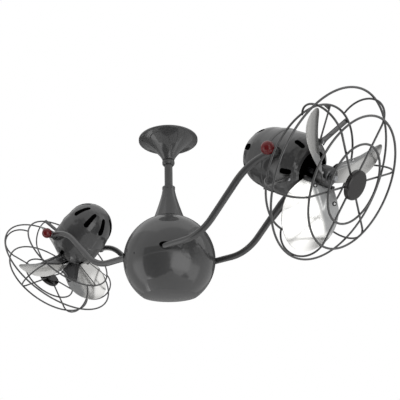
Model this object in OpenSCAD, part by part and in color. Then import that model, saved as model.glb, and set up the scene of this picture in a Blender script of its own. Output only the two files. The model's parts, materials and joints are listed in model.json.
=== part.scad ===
// Twin head ceiling fan: two caged fan heads on a pair of bent yoke tubes that pass
// through a round centre housing, which turns on a fixed spindle under a short downrod.
// Origin: centre of the ceiling plane, +Z up, the object hangs towards -Z.
// The heads point along +X and -X, tilted down; the second head is the first turned
// half a turn about Z, apart from its clamp knob, which is on the -Y side on both.

/* [Ceiling] */
// Radius of the canopy's rim
canopy_r = 87; // [80:1:110]
// Height of the canopy, ceiling to throat
canopy_h = 68; // [60:1:80]
// Wall of the pressed covers
cover_t = 1.6; // [1.2:0.1:2.5]
// Height of the canopy's straight rim
canopy_rim_h = 5; // [3:0.5:8]
// Distance between the two bracket slots
slot_spacing = 89; // [80:1:100]
// Width of the bracket slots
slot_w = 5.5; // [4.5:0.1:7]
// End to end length of the bracket slots
slot_len = 16; // [10:1:20]
// Diameter of the hanger ball
ball_d = 36; // [34:1:40]
// Length of the collar under the canopy
collar_h = 16; // [12:1:24]

/* [Downrod and neck] */
// Outside diameter of the downrod tube
rod_d = 23.4; // [19:0.1:26]
// Wall of the downrod tube
rod_wall = 2.6; // [2:0.1:3.5]
// Height of the neck cone's rim below the ceiling
neck_top = 154; // [140:1:170]
// Radius of the neck cone's rim
neck_rim_r = 18.5; // [16:0.5:22]
// Radius of the neck cone where it meets the centre housing
neck_foot_r = 44; // [38:0.5:48]

/* [Centre housing] */
// Depth of the housing's centre below the ceiling
centre_drop = 372; // [360:1:400]
// Radius of the round housing
globe_r = 127.3; // [120:0.1:135]
// Wall of the housing shells
shell_t = 2.5; // [2:0.1:4]
// Distance from the centre down to the flat port of the lower shell
port_depth = 102; // [94:1:106]
// Bulge of the bottom cap below its port
cap_bulge = 6.5; // [3:0.5:9]
// Diameter of the fixed spindle
spindle_d = 17; // [15:0.5:20]
// Width of the crossbar that carries the yoke tubes
crossbar_w = 34; // [30:1:40]

/* [Yoke tubes] */
// Outside diameter of the yoke tubes
tube_d = 17.2; // [14:0.1:18]
// Wall of the yoke tubes
tube_wall = 1.8; // [1.2:0.1:2.5]
// Distance of each yoke tube from the middle plane
tube_y = 98; // [95:0.1:100]
// Distance from the centre to the start of the lower bend
bend_start = 139.6; // [128:0.2:142]
// Radius of the lower bend, on the tube's centre line
lower_bend_r = 128.2; // [120:0.2:150]
// Rise of the straight between the bends, in degrees
rise_angle = 43.6; // [42:0.1:50]
// Length of the straight between the bends
rise_len = 104.5; // [60:0.5:110]
// Radius of the upper bend, on the tube's centre line
upper_bend_r = 146.2; // [130:0.2:165]
// Slope of the tube where it reaches the pivot, in degrees
end_slope = 7.2; // [4:0.1:14]
// Distance of the tilt pivots from the fan's axis
pivot_x = 409.5; // [405:0.5:425]
// Diameter of the eye at each tube end
eye_d = 23; // [20:0.5:26]
// Length of the eye at each tube end
eye_len = 17; // [16.5:0.5:19]

/* [Head] */
// Angle of each head below the horizontal, in degrees
rest_tilt = 34.4; // [28:0.1:40]
// How much smaller the rear dome's radius is than the front shell's
dome_step = 3.5; // [1:0.5:6]
// Distance from the pivot back to the centre of the rear dome
dome_back = 70; // [60:1:72]
// Distance from the pivot back to the seam between the motor shells
seam_back = 44; // [36:1:50]
// Radius of the front motor shell
body_r = 78.5; // [77:0.5:79.5]
// Distance from the pivot to the front face of the motor
front_len = 52; // [48:1:56]
// Radius of the opening in the front face
front_open_r = 38; // [34:0.5:42]
// Wall of the motor shells
motor_t = 2.4; // [2:0.1:3]
// Width of the cooling slots
vent_w = 13; // [8:0.5:15]
// Diameter of the tilt pivot bolts
pivot_d = 10; // [8:0.5:12]
// Diameter of the round clamp knob
knob_d = 28; // [24:0.5:34]
// Diameter of the motor shaft
shaft_d = 12; // [10:0.5:14]

/* [Rotor] */
// Sweep radius of the blades
blade_tip_r = 182.5; // [170:0.5:184]
// Distance from the axis at which the blades start
blade_root_r = 24; // [22:0.5:28]
// Distance from the axis to the blades' widest place
blade_full_y = 89.5; // [84:0.5:96]
// Width of a blade ahead of its middle line
blade_front_w = 49.5; // [44:0.5:54]
// Width of a blade behind its middle line
blade_rear_w = 55.5; // [48:0.5:57]
// Share by which a blade widens from its widest middle place towards the tip
blade_taper = 0.36; // [0:0.02:0.4]
// Pitch of the blades at the root, in degrees
blade_pitch = 43; // [34:0.5:44]
// Pitch of the blades at the tip, in degrees
blade_tip_pitch = 18; // [12:0.5:34]
// Lean of the blades towards the front of the cage, in degrees
blade_lean = 11; // [0:0.5:12]
// How far the tip bends back from the blade's straight line
blade_bow = 12; // [0:0.5:14]
// Thickness of the blade sheet
blade_t = 2; // [1.2:0.1:2.5]
// Distance from the pivot to the blades' middle line, taken at the axis
blade_mid = 80.5; // [80:0.5:84]
// Angle at which the right rotor stands
rotor_turn_right = 34; // [0:1:120]
// Angle at which the left rotor stands
rotor_turn_left = -27; // [-120:1:120]

/* [Cage] */
// Radius of the largest cage ring
cage_r = 199.6; // [196:0.2:204]
// Radius of the front cage ring
front_ring_r = 150.4; // [146:0.2:154]
// Radius of the small front ring
small_ring_r = 90.3; // [84:0.2:96]
// Radius of the rear ring that the struts hold
rear_ring_r = 152; // [148:0.2:156]
// Distance from the pivot to the front ring
front_ring_x = 167.8; // [165:0.2:171]
// Distance from the pivot to the largest ring
cage_mid_x = 109.4; // [107:0.2:112]
// Distance from the pivot to the rear ring
rear_ring_x = 49; // [46:0.5:52]
// Diameter of the ring wires
ring_d = 5; // [4:0.1:6]
// Diameter of the wires that run from the hub over the cage
wire_d = 4.6; // [4:0.1:5.5]
// Diameter of the struts
strut_d = 4; // [3.5:0.1:5]
// Radius of the round cap in the middle of the cage
badge_r = 34; // [30:0.5:38]

/* [Hidden] */
$fn = 96;
eps = 0.01;
// Running clearance of turning pieces and gap between covers that nearly touch
run = 0.05;
gap = 0.4;
blade_angles = [0, 120, 240];
wire_angles = [for (k = [0 : 5]) 29 + 60 * k];
rear_vent_angles = [for (k = [0 : 7]) 3 + 45 * k];
front_vent_angles = [for (k = [0 : 5]) 25 + 60 * k];

// Finishes
dark_paint = "dimgray";
blade_metal = "silver";
knob_red = "darkred";
steel = "lightslategray";
black_rubber = "black";
copper = "chocolate";

// ---------------------------------------------------------------- helpers

// A tube or ring round +Z, from z0 up to z1
module ring(z0, z1, r_out, r_in) {
  translate([0, 0, z0])
    difference() {
      cylinder(h = z1 - z0, r = r_out);
      translate([0, 0, -eps]) cylinder(h = z1 - z0 + 2 * eps, r = r_in);
    }
}

// Turns a shape drawn along +Z so that it lies along +X
module along_x() {
  rotate([0, 90, 0]) children();
}

// Turns a shape drawn along +Z so that it lies along +Y
module along_y() {
  rotate([-90, 0, 0]) children();
}

// A flat slot with round ends, l end to end along X, cut h deep along Z
module slot(l, w, h) {
  linear_extrude(h) {
    square([l - w, w], center = true);
    for (s = [-1, 1]) translate([s * (l - w) / 2, 0]) circle(d = w);
  }
}

// Slot that widens towards -X, from width w0 to width w1
module wedge_slot(l, w0, w1, h) {
  x0 = l / 2 - w0 / 2;
  x1 = -l / 2 + w1 / 2;
  b = asin((w1 - w0) / 2 / (x0 - x1));
  translate([x0, 0, 0]) cylinder(h = h, r = w0 / 2);
  translate([x1, 0, 0]) cylinder(h = h, r = w1 / 2);
  linear_extrude(height = h)
    polygon([for (k = [[x0, w0, 1], [x1, w1, 1], [x1, w1, -1], [x0, w0, -1]])
      [k[0] + k[1] / 2 * sin(b), k[2] * k[1] / 2 * cos(b)]]);
}

// ---------------------------------------------------------------- ceiling mount

plate_t = 3;
plate_w = 32;
plate_len = slot_spacing + slot_len + 8;
ball_r = ball_d / 2;
ball_lift = 6;
ball_z = -plate_t - ball_r - ball_lift;
seat_clear = 0.3;
socket_r = ball_r + seat_clear + 2.2;
socket_drop = ball_r * 0.62;
rod_r = rod_d / 2;
rod_bore_r = rod_r - rod_wall;

// Plate that screws to the ceiling box, with a cup for the hanger ball
module hanger_bracket() {
  mouth_lip = 8;
  color(steel)
    difference() {
      union() {
        translate([-plate_len / 2, -plate_w / 2, -plate_t]) cube([plate_len, plate_w, plate_t]);
        translate([0, 0, ball_z - socket_drop])
          cylinder(h = -plate_t / 2 - ball_z + socket_drop, r = socket_r);
      }
      for (s = [-1, 1])
        translate([s * slot_spacing / 2, 0, -plate_t - 1]) slot(slot_len, slot_w, plate_t + 2);
      translate([0, 0, ball_z]) sphere(r = ball_r + seat_clear);
      translate([0, 0, ball_z]) cylinder(h = -plate_t - ball_z, r = ball_r + seat_clear);
      translate([-rod_r - 1, 0, ball_z - socket_drop - 1])
        cube([rod_d + 2, socket_r + 1, 2 * socket_drop]);
      translate([-ball_r - seat_clear, 0, ball_z - mouth_lip])
        cube([ball_d + 2 * seat_clear, socket_r + 1, -plate_t - ball_z + mouth_lip]);
    }
}

// Ball that rests in the bracket's cup, bored for the downrod and its cross pin
hanger_pin_r = 3;
module hanger_ball() {
  color(black_rubber)
    difference() {
      translate([0, 0, ball_z]) sphere(r = ball_r);
      translate([0, 0, ball_z - ball_r]) cylinder(h = ball_d, r = rod_r);
      translate([-ball_r, 0, ball_z]) along_x() cylinder(h = ball_d, r = hanger_pin_r);
    }
}

module hanger_pin() {
  color(steel)
    translate([-ball_r + 1.5, 0, ball_z]) along_x() cylinder(h = ball_d - 3, r = hanger_pin_r);
}

// The tube from the ball to the coupling, with a cross hole near each end
rod_top = ball_z + 12;
rod_bottom = -centre_drop + globe_r + 8;
coupling_pin_z = rod_bottom + 14;
module downrod() {
  color(dark_paint)
    difference() {
      ring(rod_bottom, rod_top, rod_r, rod_bore_r);
      translate([-ball_r, 0, ball_z]) along_x() cylinder(h = ball_d, r = hanger_pin_r);
      translate([-ball_r, 0, coupling_pin_z]) along_x() cylinder(h = ball_d, r = hanger_pin_r);
    }
}

// Trumpet cover: a bowed cone from the throat out to the rim
throat_r = 17.4;
canopy_bow = 1.45;
function canopy_line(off) = [for (t = [0 : 7.5 : 90])
  [canopy_r - (canopy_r - throat_r) * pow(cos(t), canopy_bow) - off * cos(t),
   -canopy_h + (canopy_h - canopy_rim_h) * pow(sin(t), canopy_bow) + off * sin(t)]];
module canopy() {
  inner = canopy_line(cover_t);
  outer = canopy_line(0);
  color(dark_paint)
    rotate_extrude()
      polygon(concat(outer, [[canopy_r, 0], [canopy_r - cover_t, 0],
        [canopy_r - cover_t, -canopy_rim_h + cover_t]], [for (k = [len(inner) - 2 : -1 : 0]) inner[k]]));
}

// Round collar that clamps on the rod and carries the canopy
collar_r = 18.2;
module canopy_collar() {
  top = -canopy_h;
  mid = top - collar_h / 2;
  color(dark_paint)
    difference() {
      rotate_extrude()
        polygon(concat([[rod_r + run, top], [collar_r - 3, top]],
          [for (t = [60 : -20 : -60]) [collar_r - 2.5 + 2.5 * cos(t), mid + (collar_h / 2 - 1) * sin(t)]],
          [[collar_r - 3, top - collar_h], [rod_r + run, top - collar_h]]));
      translate([0, -collar_r - 1, mid]) along_y() cylinder(h = collar_r, r = 2);
    }
  color(steel)
    translate([0, -collar_r + 2, mid]) along_y() cylinder(h = collar_r - 2 - rod_r - run, r = 2);
}

// Flared cover between the downrod and the centre housing
neck_rim_h = 8;
neck_in_r = neck_foot_r - cover_t;
neck_foot = centre_drop - sqrt(globe_r * globe_r - neck_in_r * neck_in_r) - gap;
neck_shoulder = neck_top + neck_rim_h;
neck_flare = 1.25;
neck_waist_r = neck_rim_r - 0.8;
function neck_line(off) = [for (k = [0 : 6])
  [neck_waist_r + (neck_foot_r - neck_waist_r) * pow(k / 6, neck_flare) - off,
   -neck_shoulder - (neck_foot - neck_shoulder) * k / 6]];
module neck_cone() {
  outer = neck_line(0);
  inner = neck_line(cover_t);
  color(dark_paint)
    rotate_extrude()
      polygon(concat([[rod_r + run, -neck_top], [neck_rim_r, -neck_top], [neck_rim_r, -neck_shoulder + 1]], outer,
        [for (k = [len(inner) - 1 : -1 : 0]) inner[k]],
        [[neck_rim_r - cover_t, -neck_top - 3], [rod_r + run, -neck_top - 3]]));
}

// Coupling that pins the downrod to the spindle
spindle_r = spindle_d / 2;
coupling_r = rod_r + 6;
spindle_top = rod_bottom - 1;
coupling_bottom = -centre_drop + globe_r - 8;
spindle_pin_z = coupling_bottom + 7;
module rod_coupling() {
  color(steel)
    difference() {
      translate([0, 0, coupling_bottom]) cylinder(h = coupling_pin_z + 8 - coupling_bottom, r = coupling_r);
      translate([0, 0, rod_bottom]) cylinder(h = 60, r = rod_r);
      translate([0, 0, coupling_bottom - 1]) cylinder(h = 60, r = spindle_r);
      for (z = [coupling_pin_z, spindle_pin_z])
        translate([-coupling_r - 1, 0, z]) along_x() cylinder(h = 2 * coupling_r + 2, r = hanger_pin_r);
    }
}

// Cross pins: one through the rod, one through the spindle
module coupling_pins() {
  color(steel)
    for (z = [coupling_pin_z, spindle_pin_z])
      translate([-coupling_r, 0, z]) along_x() cylinder(h = 2 * coupling_r, r = hanger_pin_r);
}

// ---------------------------------------------------------------- centre housing

hub_r = spindle_r + 17;
bearing_r = spindle_r + 11;
bearing_h = 12;
hub_top = 104;
hub_bottom = -22;
upper_bearing_z = 84;
lower_bearing_z = -18;
nut_z = lower_bearing_z - 11 - gap;
slip_z = nut_z - 23;
spindle_bottom = slip_z - 4;

// Places a shape drawn round the housing's centre
module at_centre() {
  translate([0, 0, -centre_drop]) children();
}

// Fixed shaft that the whole lower part turns on, with a shoulder over the upper bearing
module spindle() {
  color(steel)
    difference() {
      union() {
        translate([0, 0, -centre_drop + spindle_bottom])
          cylinder(h = spindle_top + centre_drop - spindle_bottom, r = spindle_r);
        at_centre() translate([0, 0, upper_bearing_z + bearing_h + gap])
          cylinder(h = 5, r = spindle_r + 3);
      }
      translate([-coupling_r, 0, spindle_pin_z]) along_x() cylinder(h = 2 * coupling_r, r = hanger_pin_r);
    }
}

// Nut and washer under the lower bearing
module spindle_nut() {
  color(steel)
    at_centre()
      difference() {
        union() {
          translate([0, 0, nut_z]) cylinder(h = 9, d = spindle_d + 14, $fn = 6);
          translate([0, 0, nut_z + 9 - eps]) cylinder(h = 2, r = spindle_r + 5);
        }
        translate([0, 0, nut_z - 1]) cylinder(h = 20, r = spindle_r);
      }
}

// Collector rings on the fixed spindle that feed the turning part
module slip_ring() {
  color(copper)
    at_centre()
      for (k = [0 : 2]) ring(slip_z + 7 * k, slip_z + 7 * k + 5, spindle_r + 7, spindle_r);
}

hub_seat_r = hub_r + 8;
shell_in_r = globe_r - shell_t;
shell_hole_r = 30;
seat_top = hub_top + 5;
lip_t = 1.6;
lip_h = 7;
tube_r = tube_d / 2;
grommet_r = tube_r + 2.2;

// The four holes where the yoke tubes pass through the shells
module tube_holes(r) {
  for (s = [-1, 1])
    translate([-globe_r - 5, s * tube_y, 0]) along_x() cylinder(h = 2 * globe_r + 10, r = r);
}

// Upper half of the round housing, hung on the turning hub by a flat seat at its top
module upper_shell() {
  color(dark_paint)
    at_centre()
      difference() {
        union() {
          difference() {
            sphere(r = globe_r, $fn = 120);
            sphere(r = shell_in_r, $fn = 120);
            translate([0, 0, -globe_r]) cube([3 * globe_r, 3 * globe_r, 2 * globe_r], center = true);
          }
          ring(seat_top, sqrt(shell_in_r * shell_in_r - hub_seat_r * hub_seat_r) + 1, hub_seat_r, shell_hole_r);
        }
        cylinder(h = 2 * globe_r, r = shell_hole_r);
        tube_holes(grommet_r);
      }
}

// Lower half, with a lip inside the seam and a round port that the bottom cap closes
port_r = sqrt(globe_r * globe_r - port_depth * port_depth);
cap_seat_r = port_r - 6;
module lower_shell() {
  color(dark_paint)
    at_centre()
      difference() {
        union() {
          difference() {
            sphere(r = globe_r, $fn = 120);
            sphere(r = shell_in_r, $fn = 120);
            translate([0, 0, globe_r]) cube([3 * globe_r, 3 * globe_r, 2 * globe_r], center = true);
            translate([0, 0, -port_depth - globe_r]) cube([3 * globe_r, 3 * globe_r, 2 * globe_r], center = true);
          }
          ring(-port_depth, -port_depth + 3, port_r - 1, cap_seat_r);
          ring(-lip_h, lip_h, shell_in_r - 0.6, shell_in_r - 0.6 - lip_t);
          ring(-lip_h, -lip_h / 2, shell_in_r + 0.5, shell_in_r - 0.6 - lip_t);
        }
        tube_holes(grommet_r);
      }
}

// Shallow dished cap on the port, with a snap ring inside the port
module bottom_cap() {
  dish = (port_r * port_r + cap_bulge * cap_bulge) / (2 * cap_bulge);
  half = asin(port_r / dish);
  bulge = [for (k = [0 : 8]) [dish * sin(half * k / 8), -port_depth + dish * (cos(half) - cos(half * k / 8))]];
  color(dark_paint)
    at_centre()
      rotate_extrude()
        polygon(concat([[0, -port_depth]], bulge,
          [[cap_seat_r - run, -port_depth], [cap_seat_r - run, -port_depth + 8],
           [cap_seat_r - 3, -port_depth + 8], [cap_seat_r - 3, -port_depth]]));
}

// Hub that turns on the spindle: a sleeve with a flange for the shell and a crossbar
bar_h = 22;
module turning_hub() {
  color(steel)
    at_centre()
      difference() {
        union() {
          translate([0, 0, hub_bottom]) cylinder(h = hub_top - hub_bottom, r = hub_r);
          ring(hub_top - 5, seat_top, hub_seat_r, hub_r - 1);
          translate([-crossbar_w / 2, -tube_y + crossbar_w / 2, -bar_h / 2])
            cube([crossbar_w, 2 * tube_y - crossbar_w, bar_h]);
          for (s = [-1, 1])
            translate([-crossbar_w / 2, s * tube_y - crossbar_w / 2, -clamp_h])
              cube([crossbar_w, crossbar_w, clamp_h - eps]);
        }
        translate([0, 0, hub_bottom - 1]) cylinder(h = hub_top - hub_bottom + 20, r = spindle_r + 4);
        translate([0, 0, upper_bearing_z]) cylinder(h = 60, r = bearing_r);
        translate([0, 0, lower_bearing_z - 20]) cylinder(h = bearing_h + 20, r = bearing_r);
        tube_holes(tube_r);
      }
}

// A sealed ball bearing from z up, with the groove between its races
module bearing(z, h, r_out, r_in) {
  mid_r = (r_out + r_in) / 2;
  rotate_extrude()
    polygon([[r_in, z], [mid_r - 2, z], [mid_r - 2, z + 1], [mid_r + 2, z + 1], [mid_r + 2, z], [r_out, z],
             [r_out, z + h], [mid_r + 2, z + h], [mid_r + 2, z + h - 1], [mid_r - 2, z + h - 1],
             [mid_r - 2, z + h], [r_in, z + h]]);
}

// Two bearings between hub and spindle
module hub_bearings() {
  color("gainsboro")
    at_centre()
      for (z = [upper_bearing_z, lower_bearing_z]) bearing(z, bearing_h, bearing_r, spindle_r + run);
}

// Caps that clamp each yoke tube down on the crossbar's saddles
clamp_h = tube_r + 6;
clamp_screw_r = 2.5;
clamp_screw_x = crossbar_w / 2 - 5;
clamp_screw_y = tube_r + 4.5;
module clamp_screw_spots() {
  for (s = [-1, 1], i = [-1, 1], j = [-1, 1])
    translate([i * clamp_screw_x, s * tube_y + j * clamp_screw_y, 0]) children();
}
module tube_clamps() {
  color(steel)
    at_centre()
      difference() {
        for (s = [-1, 1])
          translate([-crossbar_w / 2, s * tube_y - crossbar_w / 2, 0]) cube([crossbar_w, crossbar_w, clamp_h]);
        tube_holes(tube_r);
        clamp_screw_spots() translate([0, 0, -1]) cylinder(h = clamp_h + 2, r = clamp_screw_r);
        translate([0, 0, -1]) cylinder(h = 40, r = hub_r + 1);
      }
}

module clamp_screws() {
  color("gainsboro")
    at_centre()
      clamp_screw_spots()
        union() {
          cylinder(h = clamp_h + eps, r = clamp_screw_r);
          translate([0, 0, clamp_h]) cylinder(h = 3, r = clamp_screw_r + 1.8);
        }
}

// Rubber rings between the tubes and the housing, cut to the housing's curve
module tube_grommets() {
  color(black_rubber)
    at_centre()
      for (i = [-1, 1], j = [-1, 1])
        intersection() {
          translate([i * globe_r / 2 - globe_r / 2, j * tube_y, 0])
            along_x() ring(0, globe_r, grommet_r, tube_r);
          difference() {
            sphere(r = globe_r + 0.8, $fn = 120);
            sphere(r = shell_in_r - 1.5, $fn = 120);
          }
        }
}

// Spring brushes that ride on the collector rings
module brush_block() {
  color(black_rubber)
    at_centre()
      difference() {
        union() {
          translate([spindle_r + 7 + gap, -7, slip_z]) cube([9, 14, hub_bottom - slip_z]);
          translate([spindle_r + 12, -7, hub_bottom - 6]) cube([8, 14, 6]);
        }
      }
}

// ---------------------------------------------------------------- yoke tubes

lower_end = [bend_start + lower_bend_r * sin(rise_angle), lower_bend_r * (1 - cos(rise_angle))];
upper_start = lower_end + rise_len * [cos(rise_angle), sin(rise_angle)];
upper_centre = upper_start + upper_bend_r * [sin(rise_angle), -cos(rise_angle)];
upper_end = upper_centre + upper_bend_r * [-sin(end_slope), cos(end_slope)];
// Height of the pivots over the housing's centre, from the tube's own path
pivot_rise = upper_end[1] + (pivot_x - upper_end[0]) * tan(end_slope);
pivot_z = -centre_drop + pivot_rise;

// A straight run in the tube's plane, from p to q
module tube_run(p, q, r) {
  d = q - p;
  translate([p[0], 0, p[1]]) rotate([0, 90 - atan2(d[1], d[0]), 0]) cylinder(h = norm(d), r = r, $fn = 48);
}

// A bend in the tube's plane: part of a ring round centre c, from angle a0 on by da
module tube_bend(c, bend_r, a0, da, r) {
  translate([c[0], 0, c[1]])
    rotate([90, 0, 0])
      rotate([0, 0, a0])
        rotate_extrude(angle = da, $fn = 120) translate([bend_r, 0]) circle(r = r, $fn = 48);
}

// A swelling too small to see that joins a bend to its neighbour
joint_swell = 0.1;
joint_len = 6;
module tube_joint(p, slope, r) {
  translate([p[0], 0, p[1]])
    rotate([0, 90 - slope, 0]) cylinder(h = joint_len, r = r + joint_swell, center = true, $fn = 48);
}

// One side of a yoke tube as a solid of radius r, from the middle out to the eye
module tube_side(r) {
  tube_run([0, 0], [bend_start, 0], r);
  tube_bend([bend_start, lower_bend_r], lower_bend_r, -90, rise_angle, r);
  tube_run(lower_end, upper_start, r);
  tube_bend(upper_centre, upper_bend_r, 90 + end_slope, rise_angle - end_slope, r);
  tube_run(upper_end, [pivot_x, pivot_rise], r);
  tube_joint([bend_start, 0], 0, r);
  tube_joint(lower_end, rise_angle, r);
  tube_joint(upper_start, rise_angle, r);
  tube_joint(upper_end, end_slope, r);
}

// Whole yoke tube: both sides with an eye at each end, hollow but for the eyes
module yoke_tube(side) {
  inner_r = tube_r - tube_wall;
  color(dark_paint)
    at_centre()
      translate([0, side * tube_y, 0])
        difference() {
          union() {
            for (m = [0, 1])
              mirror([m, 0, 0])
                difference() {
                  tube_side(tube_r);
                  tube_side(inner_r);
                }
            for (m = [-1, 1])
              translate([m * pivot_x, -eye_len / 2, pivot_rise]) along_y() cylinder(h = eye_len, d = eye_d);
          }
          for (m = [-1, 1])
            translate([m * pivot_x, -eye_len, pivot_rise]) along_y() cylinder(h = 2 * eye_len, r = pivot_d / 2);
        }
}

module front_yoke_tube() {
  yoke_tube(-1);
}

module rear_yoke_tube() {
  yoke_tube(1);
}

// ---------------------------------------------------------------- head

// Places a shape drawn with the head's axis along +X and the pivot at the origin
module at_head(side) {
  rotate([0, 0, side > 0 ? 0 : 180])
    translate([pivot_x, 0, pivot_z]) rotate([0, rest_tilt, 0]) children();
}

boss_r = 13;
washer_t = 3;
eye_in = tube_y - eye_len / 2;
boss_end = eye_in - washer_t;
pivot_r = pivot_d / 2 - run;
rim_r = body_r + 1.2;
dome_r = body_r - dome_step;
rim_len = 7;

function dome_line(off) = [for (t = [0 : 7.5 : 90])
  [(dome_r - off) * sin(t), -dome_back - (dome_r - off) * cos(t)]];
function shoulder_line(off) = [for (t = [0 : 10 : 90])
  [front_open_r + 2 + (body_r - off - front_open_r - 2) * cos(t), (front_len - off) * sin(t)]];

// Rear motor shell: dome, short cone to the seam and a ring of radial cooling slots
vent_in = 33;
vent_out = 69;
module rear_motor_shell(side) {
  outer = dome_line(0);
  inner = dome_line(motor_t);
  vent_mid = (vent_in + vent_out) / 2;
  vent_len = 2 * dome_r * sin((vent_out - vent_in) / 2);
  color(dark_paint)
    at_head(side)
      difference() {
        union() {
          along_x()
            rotate_extrude()
              polygon(concat(outer, [[rim_r, -seam_back], [rim_r - motor_t, -seam_back]],
                [for (k = [len(inner) - 1 : -1 : 0]) inner[k]]));
          along_x() ring(rear_bearing_x - 12.5, rear_bearing_x + 10, bearing_out_r + 3, bearing_out_r);
        }
        for (a = rear_vent_angles)
          rotate([a, 0, 0])
            translate([-dome_back, 0, 0])
              rotate([0, 0, 180 - vent_mid])
                translate([dome_r - 20, 0, 0])
                  rotate([90, 0, 90]) wedge_slot(vent_len, vent_w - 3, vent_w + 2, 40);
      }
}

// Front motor shell: rim at the seam, round shoulder, slots, opening and pivot bosses
front_vent_x = 29;
front_vent_r = 69;
front_vent_lean = 36;
spider_window_r = 25;
lug_angles = [88, 268];
side_lug_angles = [-38, 218];
lug_x = 36;
lug_r = 69;
module cage_lugs() {
  for (a = concat(lug_angles, side_lug_angles))
    rotate([a, 0, 0]) translate([lug_x - 6, lug_r - 8, -7]) cube([12, 14, 14]);
}
module front_motor_shell(side) {
  outer = shoulder_line(0);
  inner = shoulder_line(motor_t);
  color(dark_paint)
    at_head(side)
      difference() {
        union() {
          along_x()
            rotate_extrude()
              polygon(concat(
                [[rim_r - motor_t, -seam_back], [rim_r, -seam_back], [rim_r, -seam_back + rim_len],
                 [body_r, -seam_back + rim_len + 2]],
                outer, [[front_open_r, front_len], [front_open_r, front_len - motor_t]],
                [for (k = [len(inner) - 1 : -1 : 0]) inner[k]]));
          difference() {
            for (s = [-1, 1])
              translate([0, s * (body_r + boss_end) / 2 - s * 4, 0])
                along_y() cylinder(h = boss_end - body_r + 8, r = boss_r, center = true);
            along_x() translate([0, 0, -30]) cylinder(h = 60, r = body_r - motor_t - 1);
          }
          difference() {
            along_x() ring(front_bearing_x - 12, front_bearing_x - 8, body_r - 1, bearing_out_r);
            for (k = [0 : 3])
              rotate([90 * k + 45, 0, 0])
                translate([0, (bearing_out_r + body_r) / 2, 0])
                  along_x() cylinder(h = 30, r = spider_window_r);
          }
          along_x() ring(front_bearing_x - 12, front_bearing_x, bearing_out_r + 3, bearing_out_r);
          difference() {
            cage_lugs();
            along_x() rotate_extrude() polygon(concat([[0, 0]], shoulder_line(1), [[0, front_len - 1]]));
          }
        }
        for (s = [-1, 1])
          translate([0, s * body_r, 0]) along_y() cylinder(h = 60, r = pivot_d / 2, center = true);
        for (a = front_vent_angles)
          rotate([a, 0, 0])
            translate([front_vent_x, front_vent_r, 0])
              rotate([0, 0, 90 - front_vent_lean])
                translate([-12, 0, 0]) rotate([90, 0, 90]) slot(27, vent_w, 24);
      }
}

// Laminated stator with its windings, clamped inside the rear shell
stator_gap = 2.5;
stator_r = dome_r - motor_t - stator_gap;
core_r = 34;
module stator(side) {
  color(copper)
    at_head(side)
      along_x() {
        ring(-66, -34, stator_r, core_r + 12);
        ring(-74, -66 + eps, stator_r - 10, core_r + 14);
        ring(-34 - eps, -26, stator_r - 10, core_r + 14);
        for (k = [0 : 11])
          rotate([0, 0, 30 * k]) translate([core_r + 1.2, -5, -64]) cube([13, 10, 28]);
        difference() {
          ring(-dome_back + 1, -dome_back + 11, dome_r - motor_t - run, stator_r - 1);
          for (k = [0 : 3])
            rotate([0, 0, 90 * k]) translate([9, 9, -80]) cube([80, 80, 60]);
        }
      }
}

bearing_out_r = 16;
rear_bearing_x = -dome_back - dome_r + motor_t + 14;
front_bearing_x = 14;

// Two bearings for the motor shaft
module shaft_bearings(side) {
  color("gainsboro")
    at_head(side)
      along_x()
        for (x = [rear_bearing_x, front_bearing_x - 10]) bearing(x, 10, bearing_out_r, shaft_r + run);
}

shaft_r = shaft_d / 2;
shaft_rear = rear_bearing_x + 1;
hub_back = 66;
hub_front = 110;
module motor_shaft(side) {
  color(steel)
    at_head(side)
      along_x() translate([0, 0, shaft_rear]) cylinder(h = hub_front + 10 - shaft_rear, r = shaft_r);
}

module rotor_core(side) {
  color(steel)
    at_head(side) along_x() ring(-66, -34, core_r, shaft_r);
}

// Bolt with a round head through the eye on the side away from the knob
module far_pivot_bolt(side) {
  color(steel)
    at_head(side)
      union() {
        translate([0, side * (body_r - 6), 0]) along_y_side(side) cylinder(h = tube_y + eye_len / 2 + gap - body_r + 6, r = pivot_r);
        translate([0, side * (tube_y + eye_len / 2 + gap), 0]) along_y_side(side) cylinder(h = 5, r = pivot_r + 4);
      }
}

// Turns a shape drawn along +Z to lie along +Y or, on the other side, along -Y
module along_y_side(side) {
  rotate([side > 0 ? -90 : 90, 0, 0]) children();
}

// Black washers between the bosses and the eyes
module pivot_washers(side) {
  color(black_rubber)
    at_head(side)
      for (s = [-1, 1])
        translate([0, s * (boss_end + washer_t / 2), 0])
          rotate([90, 0, 0])
            translate([0, 0, -washer_t / 2 + gap / 2]) ring(0, washer_t - gap, boss_r + 1.5, pivot_d / 2);
}

// Clamp knob with its stud: a flattened ball on a collar, on the -Y side of the fan
knob_start = tube_y + eye_len / 2 + gap;
knob_collar_h = 2.5;
module knob(side) {
  r = knob_d / 2;
  color(knob_red)
    at_head(side)
      translate([0, -side * knob_start, 0])
        along_y_side(-side)
          difference() {
            intersection() {
              translate([0, 0, knob_collar_h + r * 0.62]) sphere(r = r);
              translate([0, 0, knob_collar_h]) cylinder(h = 2 * r, r = r);
            }
            translate([0, 0, -1]) cylinder(h = 14 + knob_collar_h, r = pivot_r);
          }
}

module knob_stud(side) {
  color(steel)
    at_head(side)
      translate([0, -side * (body_r - 6), 0])
        along_y_side(-side)
          union() {
            cylinder(h = knob_start - body_r + 6 + knob_collar_h + 12, r = pivot_r);
            translate([0, 0, knob_start - body_r + 6]) cylinder(h = knob_collar_h, r = 10);
          }
}

// ---------------------------------------------------------------- rotor

// Places a shape drawn in a head's frame on its rotor
module at_rotor(side) {
  at_head(side) rotate([side > 0 ? rotor_turn_right : rotor_turn_left, 0, 0]) children();
}

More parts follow.
